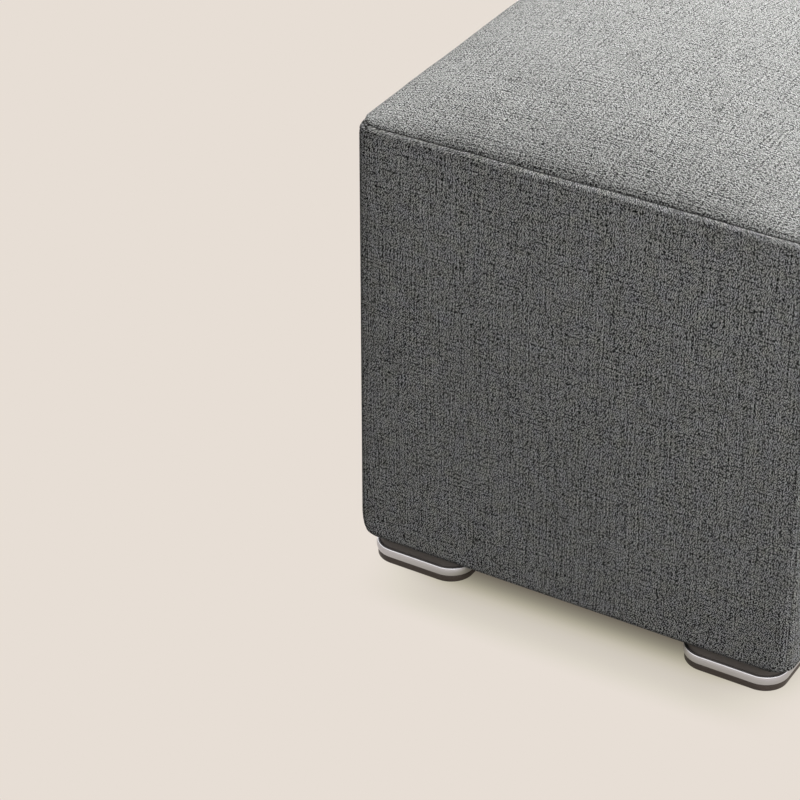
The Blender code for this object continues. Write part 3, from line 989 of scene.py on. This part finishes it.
# mm in front of the middle, and how dark the shadow is there
SHADOW_FRONT = (
    (170, 0.86), (180, 0.78), (190, 0.66), (200, 0.48), (210, 0.30), (220, 0.22), (240, 0.145), (250, 0.09),
    (260, 0.035), (270, 0.0), (1000, 0.0),
)
SHADOW_LEFT = (-205.0, -110.0)  # mm: where the shadow's left end starts and where it has reached its depth
SHADOW_RIGHT = (230.0, 130.0)
SHADOW_BACK = (215.0, 120.0)
DOME_RADIUS, DOME_RINGS = 12.0, 24
FLOOR_DROP = 0.0004  # of the floor below the soles
GROUND_DROP = 0.0006  # of the ground that light falls on, below the floor
GROUND_HALF = 6.0
GROUND_COLOUR = (0.06, 0.057, 0.054, 1)
GLOW_RADIUS, GLOW_RINGS = 9.0, 48
GLOW_LOW, GLOW_HIGH = 0.3, 7.0  # heights between which the belt shines
GLOW_COLOUR = (2.1, 2.08, 2.05, 1)
SPHERE_SEGMENTS = 48


def part_of_sphere(radius, rings, cuts):
    """A sphere round the origin, less what lies above each of these heights, or below it where side is -1."""
    bm = bmesh.new()
    bmesh.ops.create_uvsphere(bm, u_segments=SPHERE_SEGMENTS, v_segments=rings, radius=radius)
    for height, side in cuts:
        everything = bm.verts[:] + bm.edges[:] + bm.faces[:]
        bmesh.ops.bisect_plane(
            bm, geom=everything, plane_co=(0, 0, height), plane_no=(0, 0, side), clear_outer=True
        )
    return bm


def add_to_set(name, bm, material, unseen_by):
    """Adds the mesh of a bmesh to the set round the pouf. The kinds of ray in unseen_by pass through it."""
    mesh = bpy.data.meshes.new(name)
    bm.to_mesh(mesh)
    bm.free()
    mesh.materials.append(material)
    obj = add_object(name, mesh)
    for ray in unseen_by:
        setattr(obj, f"visible_{ray}", False)


def shadow_depth(s):
    """How dark the painted soft shadow is at a point of the floor."""
    x, y, z = s.place()
    reach = s.node("ShaderNodeFloatCurve", Value=s.times(y, -0.001))
    curve = reach.mapping.curves[0]
    reach.mapping.use_clip = False
    curve.points[0].location = (0.0, SHADOW_FRONT[0][1])
    curve.points[1].location = (SHADOW_FRONT[0][0] / 1000, SHADOW_FRONT[0][1])
    for distance, depth in SHADOW_FRONT[1:]:
        curve.points.new(distance / 1000, depth)
    for point in curve.points:
        point.handle_type = "VECTOR"
    reach.mapping.update()
    depth = reach.outputs[0]
    for socket, (none, full) in ((x, SHADOW_LEFT), (x, SHADOW_RIGHT), (y, SHADOW_BACK)):
        smooth = {"interpolation_type": "SMOOTHSTEP"}
        share = s.node("ShaderNodeMapRange", smooth, Value=socket, From_Min=none, From_Max=full)
        depth = s.times(depth, share.outputs[0])
    return depth


def backdrop():
    """The pale floor and the dome that it runs into. Neither lights the pouf, and both show one plain colour,
    which darkens only in the pouf's soft shadow, painted onto them."""
    bm = part_of_sphere(DOME_RADIUS, DOME_RINGS, [(-FLOOR_DROP, -1)])
    bmesh.ops.holes_fill(bm, edges=[edge for edge in bm.edges if edge.is_boundary])
    s = Shader("backdrop")
    s.emission(s.ramp(shadow_depth(s), SHADOW_COLOURS))
    add_to_set("backdrop", bm, s.material, ["diffuse", "shadow"])


def reflected_glow():
    """A bright belt round the set that only reflections see. It draws the light line along the bands."""
    bm = part_of_sphere(GLOW_RADIUS, GLOW_RINGS, [(GLOW_LOW, -1), (GLOW_HIGH, 1)])
    s = Shader("reflected_glow")
    s.emission(GLOW_COLOUR)
    add_to_set("reflected_glow", bm, s.material, ["camera", "diffuse", "shadow"])


def ground_bounce():
    """A dim floor for the light alone: it keeps light from coming up from below and sends a little back."""
    bm = bmesh.new()
    place = Matrix.Translation((0, 0, -GROUND_DROP))
    bmesh.ops.create_grid(bm, x_segments=1, y_segments=1, size=GROUND_HALF, matrix=place)
    s = Shader("ground_bounce")
    s.surface(Base_Color=GROUND_COLOUR, Roughness=1.0)
    add_to_set("ground_bounce", bm, s.material, ["camera", "glossy"])


Lamp = namedtuple("Lamp", "name towards strength spread")
SUNS = (
    Lamp("key", towards=Vector((-0.18, 1.75, 1.0)), strength=6.5, spread=30),
    Lamp("right_fill", towards=Vector((1.0, -0.5, 0.35)), strength=1.45, spread=80),
)
Softbox = namedtuple("Softbox", "name place power")
SOFTBOXES = (
    Softbox("back_softbox", place=Vector((0.03, 0.5, 1.3)), power=14.0),
    Softbox("right_softbox", place=Vector((0.75, -0.5, 1.4)), power=4.6),
    Softbox("low_softbox", place=Vector((1.0, -0.9, 1.0)), power=3.6),
)
SOFTBOX_SIZE = 1.0
AMBIENT = 0.08  # light from all round, which rises to twice this on the right and falls to none on the left


def add_light(kind, name, energy, towards):
    """A light whose rays come from this direction."""
    data = bpy.data.lights.new(name, kind)
    data.energy = energy
    light = add_object(name, data)
    light.rotation_mode = "QUATERNION"
    light.rotation_quaternion = towards.to_track_quat("Z", "Y")
    return light


def lights():
    for lamp in SUNS:
        sun = add_light("SUN", lamp.name, lamp.strength, lamp.towards)
        sun.data.angle = math.radians(lamp.spread)
    for box in SOFTBOXES:
        softbox = add_light("AREA", box.name, box.power, box.place - Vector((0, 0, SEAM_HEIGHT)))
        softbox.data.shape = "SQUARE"
        softbox.data.size = SOFTBOX_SIZE
        softbox.location = box.place
    world = bpy.data.worlds.new("studio")
    world.use_nodes = True
    s = Shader.of_tree(world.node_tree)
    parts = s.node("ShaderNodeSeparateXYZ", Vector=s.node("ShaderNodeTexCoord").outputs["Generated"])
    background = s.tree.nodes["Background"]
    background.inputs["Color"].default_value = (1, 1, 1, 1)
    s.plug(s.times_add(parts.outputs[0], AMBIENT, AMBIENT), background.inputs["Strength"])
    bpy.context.scene.world = world


# Fitted to the pouf's seams, edges and feet in the photo
CAMERA_AZIMUTH = math.radians(30.7467)
CAMERA_ELEVATION = math.radians(32.4471)
CAMERA_DISTANCE = 2.5618
CAMERA_AIM = Vector((-0.1953, -0.1617, 0.1438))
CAMERA_LENS = 130.0
SENSOR = 36.0


def camera():
    data = bpy.data.cameras.new("camera")
    data.lens = CAMERA_LENS
    data.sensor_width = SENSOR
    obj = add_object("camera", data)
    across, ahead, level = math.cos(CAMERA_AZIMUTH), math.sin(CAMERA_AZIMUTH), math.cos(CAMERA_ELEVATION)
    right = Vector((across, ahead, 0))
    back = Vector((ahead * level, -across * level, math.sin(CAMERA_ELEVATION)))
    turn = Matrix((right, back.cross(right), back)).transposed().to_4x4()
    obj.matrix_world = Matrix.Translation(CAMERA_AIM + CAMERA_DISTANCE * back) @ turn
    bpy.context.scene.camera = obj


def main():
    front = cloth_material("melange_front", weft_axis=0, **SIDE_WEAVE)
    right = cloth_material("melange_side", weft_axis=1, **SIDE_WEAVE)
    weaves = {"front": front, "right": right, "back": front, "left": right}
    sides = [(name, 90 * index, 21 + index) for index, name in enumerate(weaves)]  # name, turn, seed
    pushes = pushed_out([cover_sheet(seed) for name, turn, seed in sides] + [crown_sheet()])
    for (name, turn, seed), push in zip(sides, pushes):
        side_cover(name, turn, seed, push, weaves[name])
    top_cover(pushes[-1], cloth_material("melange_top", weft_axis=1, **TOP_WEAVE))

    block_colours = (0.070, 0.060, 0.053, 1), (0.112, 0.096, 0.086, 1)
    sole_colours = (0.038, 0.027, 0.022, 1), (0.074, 0.053, 0.043, 1)
    hard = {
        "band": band_material(),
        "block": plastic_material("block", *block_colours, grain_along=0.15, shade=(18.5, 22.5)),
        "sole": plastic_material("sole", *sole_colours, grain_along=0.1, shade=(6.0, 90.0)),
    }
    for end in ("front", "back"):
        for side in ("left", "right"):
            foot(f"{end}_{side}", hard)

    backdrop()
    reflected_glow()
    ground_bounce()
    lights()
    camera()
    bpy.context.scene.view_settings.view_transform = "Standard"


main()
